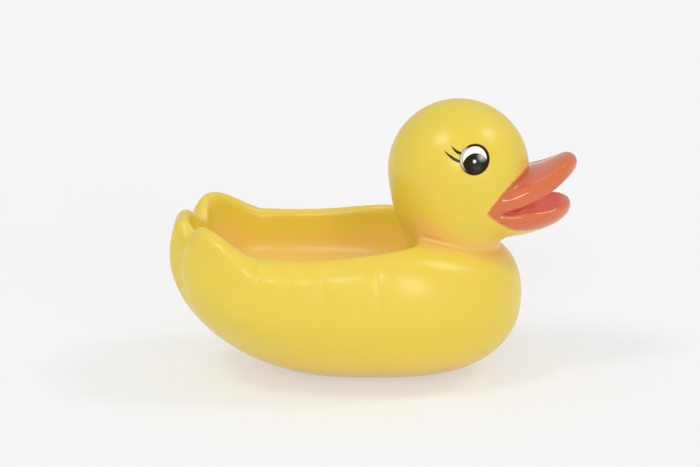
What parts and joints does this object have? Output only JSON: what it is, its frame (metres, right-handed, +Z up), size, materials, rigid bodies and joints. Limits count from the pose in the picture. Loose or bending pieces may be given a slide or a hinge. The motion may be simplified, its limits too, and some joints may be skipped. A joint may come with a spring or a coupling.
{
  "type": "bath duck with basin",
  "caption": "Soft vinyl bath duck whose back is an open basin for carrying small things; hollow, with a squeaker plug in its base",
  "frame": {"origin": "on the ground, in the middle of the footprint's box", "axes": "+X from tail to bill, +Y to the duck's left, +Z up"},
  "size_m": [0.1968, 0.1178, 0.1352],
  "materials": {
    "soft_vinyl": "satin yellow soft vinyl, with sprayed orange paint on the bill",
    "plug_plastic": "moulded off-white plastic"
  },
  "bodies": {
    "root": {"duck_shell": "soft_vinyl", "squeaker": "plug_plastic"}
  },
  "joints": []
}
